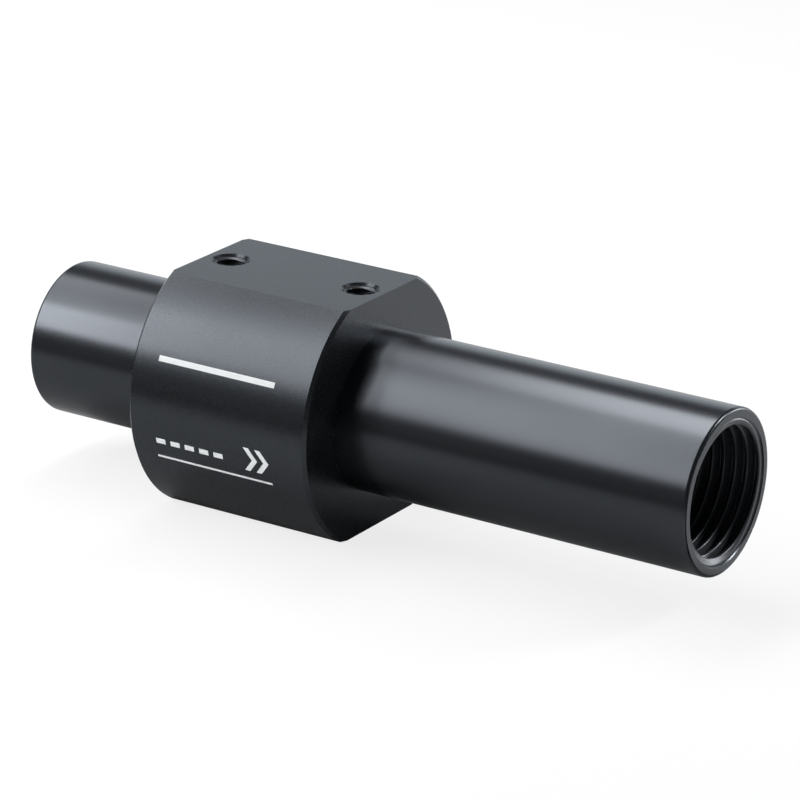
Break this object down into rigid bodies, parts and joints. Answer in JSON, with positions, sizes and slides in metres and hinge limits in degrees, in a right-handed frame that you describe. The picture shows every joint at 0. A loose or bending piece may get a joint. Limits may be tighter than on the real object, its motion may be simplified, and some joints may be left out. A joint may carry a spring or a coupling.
{
  "type": "vacuum ejector",
  "caption": "In-line conveying ejector: a suction tube, a round body with milled flats that holds a ring air nozzle, and a long outlet tube with a threaded end.",
  "frame": {"origin": "middle of the two mounting holes, on the upper flat", "axes": "+X along the passage in the direction of flow, +Z out of the upper flat"},
  "size_m": [0.111, 0.04, 0.035],
  "materials": {
    "anodised_body": "turned and milled, black anodised, satin",
    "anodised_tube": "turned, black anodised, satin gloss",
    "nitrile": "moulded, matt",
    "white_print": "screen-printed ink"
  },
  "bodies": {
    "root": {"body": "anodised_body", "suction_tube": "anodised_tube", "outlet_tube": "anodised_tube", "suction_seal": "nitrile", "outlet_seal": "nitrile"}
  },
  "joints": []
}
